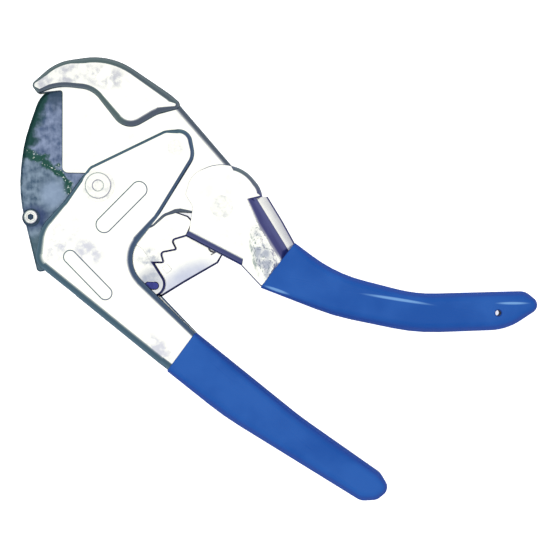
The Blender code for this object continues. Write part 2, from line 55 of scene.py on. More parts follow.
MIDDLE = (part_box("main_pivot_pin")[0][2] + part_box("main_pivot_pin")[1][2]) / 2 / MM
HANDLE_PIVOT = (50.4, -8.6)
THROUGH = (-12.0, 12.0)
ROUND_STEP = math.radians(5)
EDGE_STEPS = 7
# A rounding may use nearly half of a side, and a full round end nearly all of its radius.
NEARLY_HALF = 0.49
NEARLY_ALL = 0.999
LOG = logging.getLogger("cutter")

Point = tuple[float, float]
Corner = tuple[float, ...]
Outline = Sequence[Corner]
Profile = Sequence[Point]
Heights = tuple[float, float]
Lengths = tuple[float, float, float]
Colour = tuple[float, float, float]
Piece = bpy.types.Object
Socket = bpy.types.NodeSocket
Material = bpy.types.Material


class Body(str, Enum):
    """The rigid bodies of the tool."""

    FRAME = "frame"
    BLADE = "blade"
    UPPER = "upper_handle"
    PAWL = "pawl"


class Edge(Enum):
    """Which faces of a pressing get a rolled edge."""

    FRONT = 1
    BOTH = 2


# Bench tools


def clear_selection() -> None:
    """Leave edit mode and select nothing."""
    if bpy.context.object and bpy.context.object.mode != "OBJECT":
        bpy.ops.object.mode_set(mode="OBJECT")
    bpy.ops.object.select_all(action="DESELECT")


def pick(piece: Piece) -> None:
    """Make one piece the selected and active object."""
    clear_selection()
    piece.select_set(True)
    bpy.context.view_layer.objects.active = piece


@contextmanager
def editing(piece: Piece, selected: bool = True, kind: str = "FACE") -> Iterator[None]:
    """Open a piece in edit mode, and close it at the end.

    Args:
        piece: The piece to work on.
        selected: Whether all of it starts selected, or none.
        kind: VERT, EDGE or FACE: what the selection is made of.

    Yields:
        Nothing: the work is done while the piece is open.
    """
    pick(piece)
    bpy.ops.object.mode_set(mode="EDIT")
    bpy.ops.mesh.select_mode(type=kind)
    bpy.ops.mesh.select_all(action="SELECT" if selected else "DESELECT")
    yield
    bpy.ops.object.mode_set(mode="OBJECT")


def heading(degrees: float) -> Point:
    """A step of one in this direction on the sheet."""
    return math.cos(math.radians(degrees)), math.sin(math.radians(degrees))


def beside(along: Vector) -> Vector:
    """A direction on the sheet, turned a quarter turn to the left."""
    return Vector((-along.y, along.x))


def lifted(place: Vector, height: float) -> Vector:
    """A place on the sheet, raised to a height."""
    return Vector((*place, height))


def rounded(corners: Outline) -> list[tuple[Vector, Corner]]:
    """Round the corners of a closed outline.

    Args:
        corners: X, Y, rounding radius and width of the rolled edge at each corner,
            then how far the edge falls, where that differs from its width.

    Returns:
        The points of the outline, each with its edge's width and, if given, fall.
    """
    points = []
    for i, (x, y, radius, *edge) in enumerate(corners):
        here = Vector((x, y))
        back = Vector(corners[i - 1][:2]) - here
        ahead = Vector(corners[(i + 1) % len(corners)][:2]) - here
        half = back.angle(ahead) / 2
        reach = min(radius / math.tan(half), NEARLY_HALF * min(back.length, ahead.length))
        fit = reach * math.tan(half)
        into = (back.normalized() + ahead.normalized()).normalized()
        centre = here + into * (fit / math.sin(half))
        first = here + back.normalized() * reach - centre
        last = here + ahead.normalized() * reach - centre
        turn = math.atan2(first.x * last.y - first.y * last.x, first.dot(last))
        steps = max(2, math.ceil(abs(turn) / ROUND_STEP))
        start = math.atan2(first.y, first.x)
        for k in range(steps + 1):
            angle = start + turn * k / steps
            spoke = Vector((math.cos(angle), math.sin(angle))) * fit
            points.append((centre + spoke, tuple(edge)))
    return points


def line_of(corners: Outline) -> list[Vector]:
    """The points of a rounded outline."""
    return [point for point, _ in rounded(corners)]


def inward(points: Sequence[Vector]) -> list[Vector]:
    """Find the direction into a closed outline at each of its points.

    Args:
        points: The outline.

    Returns:
        One direction for each point.
    """
    side = math.copysign(1.0, sum(a.cross(b) for a, b in zip(points, [*points[1:], points[0]])))
    normals = []
    for i, point in enumerate(points):
        first = (point - points[i - 1]).normalized()
        second = (points[(i + 1) % len(points)] - point).normalized()
        normals.append(beside((first + second).normalized()) * side)
    return normals


def raise_rings(name: str, rings: Sequence[Sequence[Vector]]) -> Piece:
    """Start from a filled circle and extrude its face through a stack of rings.

    Args:
        name: Name of the new piece.
        rings: Rings with equal numbers of points, in millimetres, from bottom to top.

    Returns:
        The closed piece.
    """
    clear_selection()
    bpy.ops.mesh.primitive_circle_add(vertices=len(rings[0]), radius=MM, fill_type="NGON")
    piece = bpy.context.object
    piece.name = piece.data.name = name
    vertices = piece.data.vertices
    order = list(range(len(rings[0])))
    for level, ring in enumerate(rings):
        if level:
            at = {vertices[i].co.to_tuple(): k for k, i in enumerate(order)}
            bpy.ops.object.mode_set(mode="EDIT")
            bpy.ops.mesh.select_mode(type="FACE")
            bpy.ops.mesh.extrude_region_move()
            bpy.ops.object.mode_set(mode="OBJECT")
            vertices = piece.data.vertices
            order = sorted(
                (v.index for v in vertices if v.select), key=lambda i: at[vertices[i].co.to_tuple()]
            )
        for i, point in zip(order, ring):
            vertices[i].co = (point.x * MM, point.y * MM, (point.z + MIDDLE) * MM)
    turn_out(piece)
    return piece


def turn_out(piece: Piece) -> None:
    """Turn every face of the piece outwards."""
    with editing(piece):
        bpy.ops.mesh.normals_make_consistent(inside=False)


def pressed(
    name: str,
    corners: Outline,
    heights: Heights,
    deepest: float = 1.3,
    edge: Edge = Edge.FRONT,
    fullness: float = 1.5,
) -> Piece:
    """Press a plate or a body whose edge rolls over towards its outline.

    Args:
        name: Name of the new piece.
        corners: The outline, with the width of the rolled edge at each corner.
        heights: The lower and the upper face.
        deepest: The most that the edge falls below the face, unless a corner says more.
        edge: Whether the lower face is rolled too.
        fullness: 2 rolls the edge as a quarter circle, less makes it flatter.

    Returns:
        The closed piece.
    """
    places, edges = zip(*rounded(corners))
    rims = [rim for rim, *_ in edges]
    falls = [fall[0] if fall else min(rim, deepest) for rim, *fall in edges]
    inside = inward(places)
    low, high = heights
    power = 2 / fullness
    turns = [math.pi / 2 * k / EDGE_STEPS for k in range(EDGE_STEPS + 1)]
    shares = [(1 - math.cos(a) ** power, 1 - math.sin(a) ** power) for a in turns]

    def ring(share: float, drop: float, face: float, side: int) -> list[Vector]:
        """The outline, moved in by a share of the edge's width and towards the middle."""
        return [
            lifted(place + into * rim * share, face - side * drop * fall)
            for place, into, rim, fall in zip(places, inside, rims, falls)
        ]

    if edge is Edge.BOTH:
        rings = [ring(share, drop, low, -1) for share, drop in reversed(shares)]
    else:
        rings = [[lifted(place, low) for place in places]]
    rings += [ring(share, drop, high, 1) for share, drop in shares]
    return raise_rings(name, rings)


def folded(
    name: str, stations: Sequence[Sequence[Point]], levels: Sequence[float], under: float
) -> Piece:
    """Fold a strip of sheet down along an edge.

    Args:
        name: Name of the new piece.
        stations: Places across the strip, from its inner line outwards, at each of
            several stations along it. It curves down from the first to the second.
        levels: Height of the strip at each of those places.
        under: Height of its underside.

    Returns:
        The closed piece.
    """
    steps, power, round_to, shoulder = 8, 1.33, 0.8, 0.35
    down = Vector((0, 0, round_to))
    rings = []
    for station in stations:
        first, second, *rest = (lifted(place, level) for place, level in zip(station, levels))
        ring = []
        for k in range(steps + 1):
            angle = math.pi / 2 * k / steps
            place = first.lerp(second, math.sin(angle) ** power)
            place.z = second.z + (first.z - second.z) * math.cos(angle) ** power
            ring.append(place)
        for outer in rest:
            back = (ring[-1] - outer).normalized() * round_to
            ring += [outer + back, outer + back * shoulder - down / 4, outer - down]
        ring += [lifted(ring[-1].xy, under), lifted(first.xy, under)]
        rings.append(ring)
    return raise_rings(name, rings)


def block(name: str, places: Sequence[Vector], heights: Heights) -> Piece:
    """A straight-sided block over these places."""
    return raise_rings(name, [[lifted(place, z) for place in places] for z in heights])


def prism(name: str, corners: Outline, heights: Heights) -> Piece:
    """A straight-sided block of one rounded outline."""
    return block(name, line_of(corners), heights)


def turned(name: str, centre: Point, profile: Profile, sides: int = 56) -> Piece:
    """Turn a round piece: a disc whose face is extruded and scaled along a profile.

    Args:
        name: Name of the new piece.
        centre: X and Y of its axis.
        profile: Radius and height of each ring, from the bottom face to the last face.
        sides: Number of sides of the circle.

    Returns:
        The closed piece.
    """
    clear_selection()
    (radius, height), *rest = profile
    place = Vector((*centre, height + MIDDLE)) * MM
    bpy.ops.mesh.primitive_circle_add(
        vertices=sides, radius=radius * MM, fill_type="NGON", location=place
    )
    piece = bpy.context.object
    piece.name = piece.data.name = name
    bpy.ops.object.transform_apply(location=True, rotation=False, scale=False)
    with editing(piece):
        for wide, level in rest:
            up = (0, 0, (level - height) * MM)
            bpy.ops.mesh.extrude_region_move(TRANSFORM_OT_translate={"value": up})
            share = wide / radius
            bpy.ops.transform.resize(value=(share, share, 1), center_override=place)
            radius, height = wide, level
    turn_out(piece)
    return piece


def use_modifier(piece: Piece, kind: str, **settings: object) -> None:
    """Add a modifier to a piece and apply it.

    Args:
        piece: The piece to work on.
        kind: The modifier's type.
        settings: Its properties.
    """
    step = piece.modifiers.new(kind.lower(), kind)
    for name, value in settings.items():
        setattr(step, name, value)
    pick(piece)
    bpy.ops.object.modifier_apply(modifier=step.name)


def cut(piece: Piece, tool: Piece) -> None:
    """Cut one piece with another, which is used up."""
    use_modifier(piece, "BOOLEAN", operation="DIFFERENCE", solver="EXACT", object=tool)
    bpy.data.objects.remove(tool, do_unlink=True)


def bore(piece: Piece, centre: Point, radius: float) -> None:
    """Drill a round hole right through."""
    cut(piece, turned("drill", centre, [(radius, height) for height in THROUGH]))


def soften(piece: Piece, chosen: Callable[[Vector], bool], width: float) -> None:
    """Bevel the sharp edges whose two ends pass a test.

    Args:
        piece: The piece to work on.
        chosen: Test of a point, given in millimetres from the middle plane.
        width: Width of the bevel.
    """
    with editing(piece, selected=False, kind="EDGE"):
        bpy.ops.mesh.edges_select_sharp(sharpness=math.radians(50))
    mesh = piece.data
    for edge in mesh.edges:
        ends = [mesh.vertices[i].co / MM - Vector((0, 0, MIDDLE)) for i in edge.vertices]
        edge.select = edge.select and all(chosen(end) for end in ends)
    bpy.ops.object.mode_set(mode="EDIT")
    bpy.ops.mesh.bevel(offset=width * MM, segments=3, affect="EDGES", clamp_overlap=True)
    bpy.ops.object.mode_set(mode="OBJECT")


def trim(piece: Piece, place: Vector, away: Vector) -> None:
    """Saw off what lies beyond a plane that stands on the sheet."""
    with editing(piece):
        bpy.ops.mesh.bisect(
            plane_co=lifted(place, 0) * MM, plane_no=lifted(away, 0), use_fill=True, clear_outer=True
        )


def mirrored(piece: Piece, name: str) -> Piece:
    """Copy a piece to the other side of the middle plane.

    Args:
        piece: The piece to copy.
        name: Name of the copy.

    Returns:
        The copy, with its own mesh.
    """
    pick(piece)
    bpy.ops.object.duplicate()
    copy = bpy.context.object
    copy.name = copy.data.name = name
    with editing(copy):
        bpy.ops.transform.resize(value=(1, 1, -1), center_override=(0, 0, MIDDLE * MM))
    turn_out(copy)
    return copy


def joined(pieces: Sequence[Piece]) -> Piece:
    """Make several pieces one object.

    Args:
        pieces: The pieces. The others become part of the first.

    Returns:
        The first piece.
    """
    pick(pieces[0])
    for other in pieces[1:]:
        other.select_set(True)
    bpy.ops.object.join()
    return pieces[0]


def plain(places: Iterable[Point], radius: float = 0.1, rim: float = 0.0) -> list[Corner]:
    """Corners that share one radius and one edge width."""
    return [(x, y, radius, rim) for x, y in places]


def stadium(start: Point, end: Point, radius: float, rim: float) -> list[Corner]:
    """Lay out a long outline with two round ends.

    Args:
        start: Middle of one round end.
        end: Middle of the other.
        radius: Radius of both.
        rim: Width of the rolled edge.

    Returns:
        Its four corners.
    """
    first, last = Vector(start), Vector(end)
    along = (last - first).normalized() * radius
    across = beside(along)
    spots = (first - along - across, last + along - across, last + along + across, first - along + across)
    return plain(spots, radius * NEARLY_ALL, rim)


def arc_corners(
    centre: Point, radius: float, turns: Sequence[float], rims: Sequence[float]
) -> list[Corner]:
    """Lay out corners that, once rounded, follow a circle.

    Args:
        centre: Middle of the circle.
        radius: Its radius.
        turns: Directions in degrees where the sides touch the circle.
        rims: Edge width of each corner between two of those directions.

    Returns:
        One corner between each two directions.
    """
    corners = []
    for first, last, rim in zip(turns, turns[1:], rims):
        reach = radius / math.cos(math.radians(last - first) / 2)
        x, y = (middle + reach * step for middle, step in zip(centre, heading((first + last) / 2)))
        corners.append((x, y, radius * NEARLY_ALL, rim))
    return corners


# Finishes


@dataclass(frozen=True)
class Patch:
    """A soft oval patch of a sheet, smooth or broken up by spots."""

    centre: Point
    radii: Point
    turn: float = 0.0
    spots: float = 1.0
    solid: float = 0.35


class Nodes:
    """A node tree, with short ways to add to it."""

    def __init__(self, tree: bpy.types.NodeTree) -> None:
        """Take a tree and give it object coordinates."""
        self.tree = tree
        coordinates = tree.nodes.new("ShaderNodeTexCoord")
        self.place = coordinates.outputs["Object"]
        self.facing = coordinates.outputs["Normal"]

    def feed(self, socket: Socket, value: object) -> None:
        """Link a socket to another node's output, or set its value."""
        if isinstance(value, Socket):
            self.tree.links.new(value, socket)
        else:
            socket.default_value = value

    def feed_all(self, node: bpy.types.Node, inputs: dict[str, object]) -> None:
        """Feed inputs of a node by name, with _ for each space."""
        for name, value in inputs.items():
            self.feed(node.inputs[name.replace("_", " ")], value)

    def add(self, kind: str, **inputs: object) -> bpy.types.Node:
        """Add a node of this kind and feed its inputs."""
        node = self.tree.nodes.new(f"ShaderNode{kind}")
        self.feed_all(node, inputs)
        return node

    def stretched(self, lengths: Lengths, turn: float = 0.0, centre: Point = (0.0, 0.0)) -> Socket:
        """Measure object coordinates from a centre, in other lengths.

        Args:
            lengths: What the three coordinates are divided by.
            turn: How far their axes are turned about Z, in degrees.
            centre: Where they start, in millimetres.

        Returns:
            The new coordinates.
        """
        node = self.tree.nodes.new("ShaderNodeMapping")
        node.vector_type = "TEXTURE"
        middle = (centre[0] * MM, centre[1] * MM, 0)
        rotation = (0, 0, math.radians(turn))
        settings = {"Vector": self.place, "Location": middle, "Rotation": rotation, "Scale": lengths}
        self.feed_all(node, settings)
        return node.outputs["Vector"]

    def noise(self, scale: float, detail: float, vector: Socket | None = None) -> Socket:
        """The value of a noise texture."""
        return self.add("TexNoise", Vector=vector or self.place, Scale=scale, Detail=detail).outputs[0]

    def ramp(self, value: Socket, ends: Point, colours: tuple[Colour, Colour]) -> Socket:
        """Colour a value.

        Args:
            value: The value.
            ends: Where the two colours stand.
            colours: The colours.

        Returns:
            The colour at each place.
        """
        node = self.add("ValToRGB", Fac=value)
        for element, end, colour in zip(node.color_ramp.elements, ends, colours):
            element.position = end
            element.color = (*colour, 1.0)
        return node.outputs["Color"]

    def between(self, value: Socket, low: float, high: float, to: Point = (0.0, 1.0)) -> Socket:
        """Map a value smoothly from one range to another.

        Args:
            value: The value.
            low: Where the first result stands.
            high: Where the second result stands.
            to: The two results.

        Returns:
            The mapped value.
        """
        node = self.add("MapRange", Value=value, From_Min=low, From_Max=high, To_Min=to[0], To_Max=to[1])
        node.interpolation_type = "SMOOTHSTEP"
        return node.outputs["Result"]

    def maths(self, operation: str, first: object, second: object = 0.5) -> Socket:
        """The result of a maths node."""
        node = self.tree.nodes.new("ShaderNodeMath")
        node.operation = operation
        self.feed(node.inputs[0], first)
        self.feed(node.inputs[1], second)
        return node.outputs[0]

    def times(self, first: object, second: object) -> Socket:
        """A product."""
        return self.maths("MULTIPLY", first, second)

    def plus(self, first: object, second: object) -> Socket:
        """A sum."""
        return self.maths("ADD", first, second)

    def most(self, first: object, second: object) -> Socket:
        """The larger of two values."""
        return self.maths("MAXIMUM", first, second)

    def blend(self, share: object, first: object, second: object) -> Socket:
        """Mix two colours.

        Args:
            share: How much there is of the second.
            first: A colour, or a link to one.
            second: The other colour.

        Returns:
            The mixed colour.
        """
        node = self.tree.nodes.new("ShaderNodeMix")
        node.data_type = "RGBA"
        for socket, value in ((0, share), (6, first), (7, second)):
            self.feed(node.inputs[socket], (*value, 1.0) if isinstance(value, tuple) else value)
        return node.outputs[2]

    def line(self, first: Point, last: Point) -> Socket:
        """Measure how far each place lies to the left of a line.

        Args:
            first: A point of the line.
            last: A point further along it.

        Returns:
            The distance in metres.
        """
        left = beside((Vector(last) - Vector(first)).normalized())
        dot = self.add("VectorMath")
        dot.operation = "DOT_PRODUCT"
        self.feed(dot.inputs[0], self.place)
        self.feed(dot.inputs[1], lifted(left, 0))
        return self.maths("SUBTRACT", dot.outputs["Value"], left.dot(Vector(first)) * MM)

    def near(self, patch: Patch) -> Socket:
        """1 in the middle of a soft oval patch on the sheet, and 0 outside it."""
        length = self.add("VectorMath")
        length.operation = "LENGTH"
        radii = (patch.radii[0] * MM, patch.radii[1] * MM, 1.0)
        self.feed(length.inputs[0], self.stretched(radii, patch.turn, patch.centre))
        return self.between(length.outputs["Value"], patch.solid, 1.0, (1.0, 0.0))


class Shader(Nodes):
    """A new material and its nodes."""

    def __init__(self, name: str) -> None:
        """Make the material and find its surface node."""
        self.material = bpy.data.materials.new(name)
        self.material.use_nodes = True
        super().__init__(self.material.node_tree)
        self.surface = self.tree.nodes["Principled BSDF"]

    def give(self, **inputs: object) -> Material:
        """Feed inputs of the surface, and hand the material back."""
        self.feed_all(self.surface, inputs)
        return self.material

    def flatness(self) -> Socket:
        """1 where the surface lies flat, and 0 where it stands upright."""
        return self.maths("ABSOLUTE", self.add("SeparateXYZ", Vector=self.facing).outputs["Z"])

    def bump(self, height: Socket, distance: float, strength: float = 1.0) -> None:
        """Give the surface a bump, in millimetres."""
        node = self.add("Bump", Height=height, Strength=strength, Distance=distance * MM)
        self.give(Normal=node.outputs["Normal"])


@dataclass(frozen=True)
class Plating:
    """Bright plated sheet: polished, with painted reflections in cloudy patches, fine draw lines, wavy
    patches and painted shade on its sloped edges.
    """

    name: str
    colour: Colour = (0.95, 0.95, 0.91)
    # Colour of the random haze and of the painted reflections in cloudy patches.
    cloud: Colour = (0.40, 0.43, 0.52)
    # Painted shade on the sloped rolled edges, and the paler painted tone it takes in some patches.
    edge_shade: Colour = (0.165, 0.26, 0.345)
    pale: Colour = (0.30, 0.36, 0.38)
    haze: float = 0.16
    roughness: float = 0.17
    wave_height: float = 11.0
    # Painted reflections, in soft patches.
    reflection_patches: tuple[Patch, ...] = ()
    waves: tuple[Patch, ...] = ()
    # Patches where the painted edge shade is paler.
    paler_edge_patches: tuple[Patch, ...] = ()
    slot: str = "nickel_plated_steel"

    def material(self) -> Material:
        """Build the material."""
        made = Shader(self.name)
        soft = made.noise(260.0, 6.0)
        grain = made.noise(900.0, 3.0, made.stretched((1.0, 8.0, 1.0), 35))
        share = made.times(made.between(soft, 0.5, 0.72), self.haze)
        # Painted reflections in soft patches, broken up by spots.
        for patch in self.reflection_patches:
            spots = made.between(soft, 0.38, 0.64, (1 - patch.spots, 1.0))
            share = made.most(share, made.times(made.near(patch), spots))
        # Painted shade where the surface slopes: the sloped rolled edges take a darker painted tone, paler
        # in some patches.
        edge_shade = self.edge_shade
        for patch in self.paler_edge_patches:
            edge_shade = made.blend(made.near(patch), edge_shade, self.pale)
        edge_shade_mask = made.between(made.flatness(), 0.985, 0.93)
        height = made.times(grain, 0.05)
        for patch in self.waves:
            wave = made.times(made.near(patch), self.wave_height)
            height = made.plus(height, made.times(made.noise(300.0, 2.5), wave))
        made.bump(height, 0.10)
        return made.give(
            Base_Color=made.blend(edge_shade_mask, made.blend(share, self.colour, self.cloud), edge_shade),
            Metallic=1.0,
            Roughness=made.between(grain, 0.3, 0.7, (self.roughness - 0.03, self.roughness + 0.05)),
        )


@dataclass(frozen=True)
class Side:
    """A tint on one side of a line, with a soft border that may be ragged."""

    tint: Colour
    line: tuple[Point, Point]
    border: Point
    strength: float = 1.0
    ragged: bool = True

    def share(self, made: Nodes, drift: Socket) -> Socket:
        """How much of the tint shows, with a drift that makes the border ragged."""
        edge = made.plus(made.line(*self.line), drift) if self.ragged else made.line(*self.line)
        return made.between(edge, self.border[0] * MM, self.border[1] * MM, (0.0, self.strength))


@dataclass(frozen=True)
class SoftTint:
    """A tint in a soft patch."""

    tint: Colour
    patch: Patch
    strength: float

    def share(self, made: Nodes, drift: Socket) -> Socket:
        """How much of the tint shows. A soft patch doesn't drift."""
        return made.times(made.near(self.patch), self.strength)


@dataclass(frozen=True)
class BladeSteel:
    """Dark ground blade steel: brushed, mottled, with a painted shade line and painted glints where the
    bevel ends, and painted shade along the ground edge and round the screw.
    """

    name: str = "ground_blade_steel"
    slot: str = "blued_blade_steel"
    above: tuple[Colour, Colour] = ((0.075, 0.115, 0.215), (0.27, 0.33, 0.50))
    below: tuple[Colour, Colour] = ((0.060, 0.105, 0.170), (0.25, 0.33, 0.44))
    bend: tuple[Point, Point, Point] = ((-31.2, 14.6), (-16.0, 5.7), (-12.0, -1.5))
    # Painted shade along the line where the bevel ends.
    bevel_line_shade: Colour = (0.022, 0.085, 0.070)
    # Colour of the painted glints on that line.
    glint: Colour = (0.75, 0.82, 0.80)
    zones: tuple[Side | SoftTint, ...] = (
        Side((0.030, 0.060, 0.105), ((-30.0, 33.5), (-9.0, 36.0)), (-6.0, 1.5), 0.9),
        # Painted shade round the screw.
        SoftTint((0.030, 0.050, 0.150), Patch((-26.6, -12.6), (8.5, 6.5)), 0.85),
        Side((0.060, 0.115, 0.140), ((-36.0, -21.0), (-16.0, -17.0)), (1.0, -4.0), 0.7, False),
        # Painted shade on the ground bevel along the cutting edge.
        Side((0.016, 0.062, 0.060), ((-33.0, 9.5), (-22.0, 38.0)), (-4.2, -0.6)),
        SoftTint((0.31, 0.40, 0.57), Patch((-18.8, -3.6), (7.0, 8.0)), 0.7),
    )

    def material(self) -> Material:
        """Build the material."""
        made = Shader(self.name)
        mottle = made.noise(330.0, 9.0)
        brushed = made.noise(800.0, 5.0, made.stretched((1.0, 6.0, 1.0), 4))
        grey = made.plus(made.times(mottle, 0.7), made.times(brushed, 0.3))
        drift = made.times(made.maths("SUBTRACT", made.noise(190.0, 6.0), 0.5), 0.012)
        first, middle, last = self.bend
        split = made.plus(made.most(made.line(first, middle), made.line(middle, last)), drift)
        lower = made.ramp(grey, (0.38, 0.62), self.below)
        upper = made.ramp(grey, (0.36, 0.62), self.above)
        colour = made.blend(made.between(split, -0.0004, 0.0010), lower, upper)
        # A painted shade line where the bevel ends.
        band = made.times(made.between(split, -0.0028, -0.0012), made.between(split, 0.0024, 0.0008))
        colour = made.blend(band, colour, self.bevel_line_shade)
        # Painted glints along that line.
        glints = made.times(band, made.between(made.noise(1300.0, 2.0), 0.62, 0.67))
        colour = made.blend(glints, colour, self.glint)
        for zone in self.zones:
            colour = made.blend(zone.share(made, drift), colour, zone.tint)
        made.bump(made.plus(brushed, mottle), 0.03)
        rough = made.between(brushed, 0.2, 0.8, (0.28, 0.42))
        return made.give(Base_Color=colour, Metallic=0.9, Roughness=rough)


@dataclass(frozen=True)
class Vinyl:
    """Glossy dipped vinyl: saturated, slightly uneven, with faint runs, painted highlight streaks and
    painted shade on its sloped sides.
    """

    name: str
    along: float = 0.0
    highlight_streaks: tuple[Patch, ...] = ()
    colour: Colour = (0.016, 0.100, 0.400)
    deep: Colour = (0.007, 0.075, 0.345)
    # Colour of the painted highlight streaks.
    highlight_colour: Colour = (0.16, 0.34, 0.66)
    # Painted shade on the sloped sides.
    edge: Colour = (0.012, 0.055, 0.29)
    slot: str = "blue_vinyl"

    def material(self) -> Material:
        """Build the material."""
        made = Shader(self.name)
        cloud = made.noise(45.0, 3.0)
        runs = made.noise(120.0, 3.0, made.stretched((8.0, 1.0, 2.0), self.along))
        colour = made.blend(made.between(cloud, 0.35, 0.65), self.colour, self.deep)
        # Painted shade where the surface slopes.
        colour = made.blend(made.between(made.flatness(), 0.97, 0.65), colour, self.edge)
        # Painted highlight streaks.
        for patch in self.highlight_streaks:
            colour = made.blend(made.near(patch), colour, self.highlight_colour)
        made.bump(runs, 0.12, 0.6)
        return made.give(
            Base_Color=colour,
            Roughness=made.between(runs, 0.3, 0.7, (0.26, 0.38)),
            Specular_IOR_Level=0.14,
            Coat_Weight=0.06,
            Coat_Roughness=0.12,
        )


@dataclass(frozen=True)
class TurnedMetal:
    """Turned or drawn metal with fine tool marks and a little tarnish."""

    name: str
    colour: Colour
    tarnish: Colour
    roughness: float = 0.25
    slot: str = "bright_steel"

    def material(self) -> Material:
        """Build the material."""
        made = Shader(self.name)
        marks = made.noise(1400.0, 3.0)
        spots = made.between(made.noise(380.0, 5.0), 0.48, 0.72, (0.0, 0.7))
        rough = made.between(marks, 0.3, 0.7, (self.roughness - 0.05, self.roughness + 0.08))
        made.bump(marks, 0.02)
        colour = made.blend(spots, self.colour, self.tarnish)
        return made.give(Base_Color=colour, Metallic=1.0, Roughness=rough)


HOOK_PLATING = Plating(
    "plated_hook",
    cloud=(0.50, 0.51, 0.58),
    edge_shade=(0.23, 0.285, 0.30),
    reflection_patches=(
        Patch((-13.0, 45.0), (17.0, 6.5), 14, 0.8),
        Patch((-22.5, 42.0), (7.0, 4.5), 0, 0.7),
        Patch((3.0, 44.5), (13.0, 6.5), -8),
    ),
)
LOWER_PLATING = Plating(
    "plated_lower_handle",
    cloud=(0.60, 0.61, 0.70),
    reflection_patches=(
        Patch((-15.0, -22.0), (14.0, 7.0), 55),
        Patch((-4.0, -27.0), (9.0, 6.0), -30),
        Patch((24.0, -66.0), (11.0, 5.0), -40),
    ),
)
UPPER_PLATING = Plating(
    "plated_upper_handle",
    edge_shade=(0.17, 0.18, 0.39),
    waves=(Patch((67.3, -28.0), (6.0, 18.0), 14),),
    reflection_patches=(Patch((67.3, -29.0), (5.0, 16.0), 14), Patch((73.0, -35.5), (4.5, 3.0), 50)),
    paler_edge_patches=(Patch((64.5, 4.0), (20.0, 9.5)),),
)
CARRIER_PLATING = Plating(
    "plated_tail",
    edge_shade=(0.075, 0.085, 0.22),
    reflection_patches=(Patch((20.5, -29.5), (6.5, 5.5)), Patch((21.7, -39.0), (8.0, 8.0), spots=0.3)),
)
PAWL_PLATING = Plating(
    "plated_pawl",
    cloud=(0.52, 0.55, 0.69),
    edge_shade=(0.055, 0.065, 0.16),
    reflection_patches=(Patch((36.5, -39.5), (19.0, 10.0), 31, 0.1),),
)
BLADE_STEEL = BladeSteel()
LOWER_VINYL = Vinyl("dipped_vinyl_lower", -39.4)
UPPER_VINYL = Vinyl(
    "dipped_vinyl_upper",
    -8.0,
    # Painted highlight streaks along the grip.
    (
        Patch((122.0, -46.4), (17.0, 0.8), -9),
        Patch((169.0, -48.0), (8.0, 0.7)),
        Patch((72.8, -42.6), (6.5, 0.8), -19),
    ),
)
BRIGHT = TurnedMetal("bright_turned_steel", (0.93, 0.93, 0.90), (0.62, 0.64, 0.68))
# A dark metal that stands in for shade: the ring under the screw head and the disc in its socket.
SHADE_STEEL = TurnedMetal(
    "painted_shade_steel", (0.045, 0.075, 0.12), (0.03, 0.045, 0.06), 0.35, "blued_blade_steel"
)
# A dark metal that stands in for the shade in the carrier's slot.
SLOT_SHADE_STEEL = TurnedMetal("painted_slot_shade", (0.055, 0.065, 0.27), (0.04, 0.05, 0.20), 0.3)
WIRE = TurnedMetal("drawn_spring_wire", (0.34, 0.34, 0.36), (0.20, 0.19, 0.18), 0.3)
BRONZE = TurnedMetal("bearing_bronze_turned", (0.60, 0.40, 0.18), (0.32, 0.22, 0.12), 0.32)
Finish = Plating | BladeSteel | Vinyl | TurnedMetal


def made_finish(finish: Finish) -> bpy.types.Material:
    """The finish's material, built once."""
    return bpy.data.materials.get(finish.name) or finish.material()


def hand_over(piece: Piece, finish: Finish, body: Body, *nodes: str) -> None:
    """Smooth and dress a finished piece and put it on its body.

    Args:
        piece: The finished piece.
        finish: What it is made of.
        body: The rigid body it moves with.
        nodes: The CAD nodes that it stands for.
    """
    pick(piece)
    bpy.ops.object.shade_smooth_by_angle(angle=math.radians(32))
    use_modifier(piece, "WEIGHTED_NORMAL", mode="FACE_AREA", keep_sharp=True, weight=80)
    piece.data.materials.clear()
    piece.data.materials.append(made_finish(finish))
    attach(piece, body.value)
    if nodes:
        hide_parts(*nodes)
    LOG.info("%s: %d faces on %s", piece.name, len(piece.data.polygons), body.value)


def dress(node: str, finish: Finish) -> None:
    """Give a CAD node that stays its material."""
    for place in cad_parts[node].material_slots:
        place.material = made_finish(finish)
    LOG.info("%s: dressed", node)


# The pieces


@dataclass(frozen=True)
class Grip:
    """A dipped vinyl grip, sawn square at its mouth.

    Corners are given along the grip, across it, then the radius and the width of
    the rolled edge.
    """

    name: str
    body: Body
    finish: Finish
    start: Point
    direction: float
    mouth: tuple[Point, Point]
    outline: Outline
    half: float = 7.9
    hole: Point | None = None
    sink: Point = (1.7, 1.2)
    mouth_edge: float = 0.45

    def spot(self, along: float, across: float) -> Point:
        """A place on the sheet, given along and across the grip."""
        c, s = heading(self.direction)
        x, y = self.start
        return x + along * c - across * s, y + along * s + across * c

    def build(self) -> None:
        """Form the grip, saw its mouth, drill its hole and dress it."""
        corners = [(*self.spot(a, c), radius, rim) for a, c, radius, rim in self.outline]
        grip = pressed(self.name, corners, (-self.half, self.half), 6.5, Edge.BOTH, 2.2)
        upper, lower = (Vector(self.spot(*place)) for place in self.mouth)
        away = beside((upper - lower).normalized())
        trim(grip, upper, away)
        if self.hole:
            edge = self.half + 0.1
            wide, narrow = self.sink
            sink = [(wide, -edge), (narrow, 0.5 - edge), (narrow, edge - 0.5), (wide, edge)]
            cut(grip, turned("hang hole", self.hole, sink))
        soften(grip, lambda p: abs((p.to_2d() - upper).dot(away)) < 0.02, self.mouth_edge)
        use_modifier(grip, "TRIANGULATE", min_vertices=5)
        hand_over(grip, self.finish, self.body, self.name)


